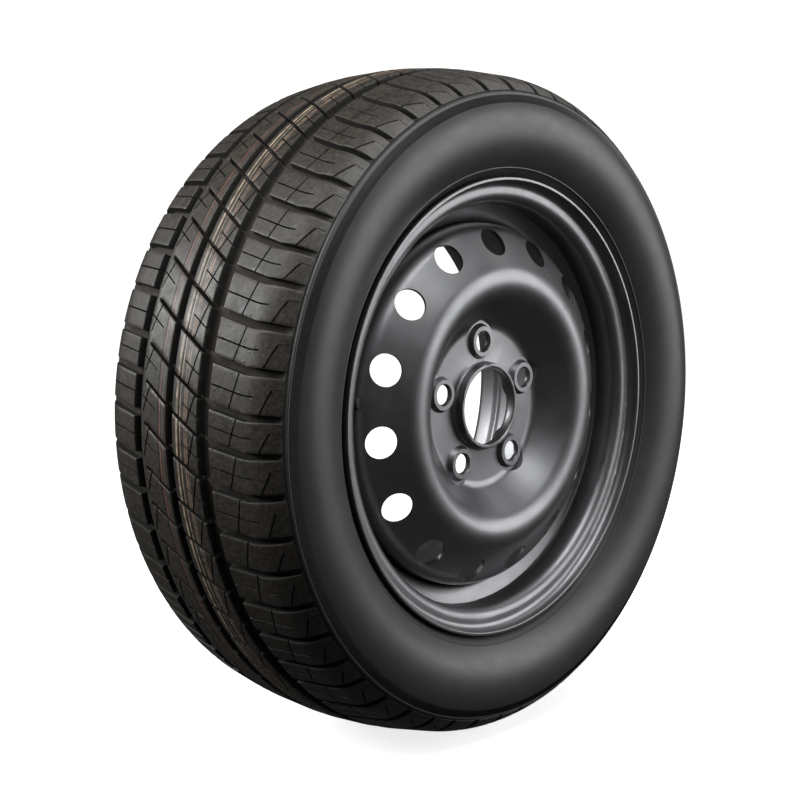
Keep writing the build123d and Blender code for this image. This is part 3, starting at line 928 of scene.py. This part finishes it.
def smoothTree():
    tree = newTree("smoothSheet")
    groupInput(tree, "Weld distance", "NodeSocketFloat", 0.005 * mm)
    groupInput(tree, "Sharp angle", "NodeSocketFloat", math.radians(30))
    groupInput(tree, "Finish", "NodeSocketMaterial")
    inputs = addNode(tree, "NodeGroupInput").outputs
    weld = addNode(tree, "GeometryNodeMergeByDistance")
    feed(tree, weld.inputs["Geometry"], inputs["Geometry"])
    feed(tree, weld.inputs["Distance"], inputs["Weld distance"])
    bend = addNode(tree, "GeometryNodeInputMeshEdgeAngle")
    soft = addNode(tree, "FunctionNodeCompare", data_type="FLOAT", operation="LESS_THAN")
    feed(tree, soft.inputs["A"], bend.outputs["Unsigned Angle"])
    feed(tree, soft.inputs["B"], inputs["Sharp angle"])
    faces = addNode(tree, "GeometryNodeSetShadeSmooth", domain="FACE")
    feed(tree, faces.inputs["Geometry"], weld.outputs["Geometry"])
    edges = addNode(tree, "GeometryNodeSetShadeSmooth", domain="EDGE")
    feed(tree, edges.inputs["Geometry"], faces.outputs["Geometry"])
    feed(tree, edges.inputs["Shade Smooth"], soft.outputs["Result"])
    endTree(tree, edges.outputs["Geometry"], inputs["Finish"])
    return tree


finishes = {
    "rim": paint,
    "wheel_disc": paint,
    "disc_welds": paint,
    "valve_body": valveRubber,
    "valve_stem": brass,
    "valve_core_housing": brass,
    "valve_core_gasket": valveRubber,
    "valve_core_pin": brass,
    "valve_core_seal": valveRubber,
    "valve_core_spring": springSteel,
    "valve_cap": capPlastic,
    "valve_cap_seal": valveRubber,
}
smooth = smoothTree()
for name, material in finishes.items():
    nodes[name].data.materials.clear()
    nodes[name].data.materials.append(material)
    addTree(nodes[name], smooth, {"Finish": material})
print("finishes set")


def makeSpring():
    # the solid's own coil, standing on its chamber floor, copied and smoothed
    press = next(joint for joint in frame["joints"] if joint["name"] == "valve_pin_press")
    inward = Vector(press["axis"])
    spring = bpy.data.objects.new("coreSpring", nodes["valve_core_spring"].data.copy())
    bpy.context.scene.collection.objects.link(spring)
    runTree(spring, smooth, {"Finish": springSteel})
    foot = max((v.co for v in spring.data.vertices), key=inward.dot).copy()
    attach(spring, "wheel")
    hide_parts("valve_core_spring")
    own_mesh(spring)
    print("spring made:", len(spring.data.polygons), "faces")


makeSpring()


# white studio, light and camera

# metres
stageForm = {
    "radius": 6.0,
    "bend": 1.5,
    "bendSteps": 6,
    "height": 5.0,
    "floorRings": (0.6, 2.0),
    "steps": 96,
    "sharpAngle": 60,
    "white": (0.80, 0.80, 0.80, 1),
    "roughness": 0.9,
    "glow": (1, 1, 1, 1),
    # near the wheel, then far from it
    "glowStrength": (0.80, 1.05),
    "glowRadius": (0.5, 1.6),
    "sky": (1.0, 1.0, 1.0, 1),
    "skyStrength": 0.05,
}
# softboxes that face the wheel: turn from straight in front of it, height angle, distance, size and power
lights = {
    "rightSoftbox": {"turn": 44, "rise": 12, "distance": 2.4, "size": (1.7, 1.2), "power": 26.0},
    "backLeftSoftbox": {"turn": -133, "rise": 22, "distance": 2.4, "size": (1.3, 0.7), "power": 40.0},
    "highLeftSoftbox": {"turn": -105, "rise": 50, "distance": 2.4, "size": (0.9, 0.9), "power": 20.0},
    "overheadSoftbox": {"turn": 0, "rise": 72, "distance": 2.4, "size": (1.8, 1.4), "power": 16.0},
    "highRightSoftbox": {"turn": 82, "rise": 48, "distance": 2.4, "size": (1.4, 1.2), "power": 7.0},
    "frontLeftSoftbox": {"turn": -16, "rise": 56, "distance": 1.3, "size": (1.0, 0.7), "power": 8.0},
    "lowStrip": {"turn": 50, "rise": -4, "distance": 2.2, "size": (1.4, 0.2), "power": 2.0},
}
view = {
    "place": (-1.08711, -0.97289, 0.18228),
    "right": (0.678161, -0.734913, -0.001036),
    "up": (0.092288, 0.083762, 0.992203),
    "focalPixels": 1649.52,
    "imagePixels": 800,
    "sensor": 36.0,
}


def makeBackdrop():
    # a round white studio: flat floor, bent up into a wall
    form = stageForm
    low = cadBox[0].z
    flat = form["radius"] - form["bend"]
    line = [(r, low) for r in form["floorRings"]]
    for i in range(form["bendSteps"] + 1):
        a = math.radians(90 * i / form["bendSteps"])
        line.append((flat + form["bend"] * math.sin(a), low + form["bend"] * (1 - math.cos(a))))
    line.append((form["radius"], low + form["height"]))
    steps = form["steps"]
    turns = [2 * math.pi * j / steps for j in range(steps)]
    verts = [(0, 0, low)]
    for r, z in line:
        verts += [(r * math.cos(turn), r * math.sin(turn), z) for turn in turns]
    pairs = [(j, (j + 1) % steps) for j in range(steps)]
    faces = [(0, 1 + j, 1 + k) for j, k in pairs]
    for i in range(len(line) - 1):
        a = 1 + i * steps
        faces += [(a + j, a + steps + j, a + steps + k, a + k) for j, k in pairs]
    backdrop = meshObject("whiteStudio", verts, [], faces)
    shadeFaces(backdrop, form["sharpAngle"])
    material, tree, shader = newMaterial("whiteStudio")
    shader.inputs["Base Color"].default_value = form["white"]
    shader.inputs["Roughness"].default_value = form["roughness"]
    shader.inputs["Emission Color"].default_value = form["glow"]
    coords = addNode(tree, "ShaderNodeTexCoord")
    away = addNode(tree, "ShaderNodeVectorMath", operation="LENGTH")
    tree.links.new(coords.outputs["Object"], away.inputs[0])
    glow = ramp(tree, away.outputs["Value"], *form["glowStrength"], *form["glowRadius"])
    tree.links.new(glow, shader.inputs["Emission Strength"])
    backdrop.data.materials.append(material)
    backdrop.visible_diffuse = False
    backdrop.visible_glossy = False


def makeLights():
    world = bpy.data.worlds.new("studio")
    bpy.context.scene.world = world
    world.use_nodes = True
    back = world.node_tree.nodes["Background"]
    back.inputs["Color"].default_value = stageForm["sky"]
    back.inputs["Strength"].default_value = stageForm["skyStrength"]
    for name, lamp in lights.items():
        light = bpy.data.lights.new(name, "AREA")
        light.shape = "RECTANGLE"
        light.size, light.size_y = lamp["size"]
        light.energy = lamp["power"]
        obj = bpy.data.objects.new(name, light)
        bpy.context.scene.collection.objects.link(obj)
        turn, rise = math.radians(lamp["turn"]), math.radians(lamp["rise"])
        away = Vector((math.sin(turn) * math.cos(rise), -math.cos(turn) * math.cos(rise), math.sin(rise)))
        obj.location = lamp["distance"] * away
        obj.rotation_euler = (-away).to_track_quat("-Z", "Y").to_euler()


def makeCamera():
    data = bpy.data.cameras.new("camera")
    data.sensor_width = view["sensor"]
    data.lens = view["sensor"] * view["focalPixels"] / view["imagePixels"]
    camera = bpy.data.objects.new("camera", data)
    bpy.context.scene.collection.objects.link(camera)
    right, up = Vector(view["right"]), Vector(view["up"])
    turn = Matrix((right, up, right.cross(up))).transposed().to_4x4()
    camera.matrix_world = Matrix.Translation(view["place"]) @ turn
    bpy.context.scene.camera = camera
    bpy.context.scene.view_settings.view_transform = "Standard"


makeBackdrop()
makeLights()
makeCamera()
print("stage set")
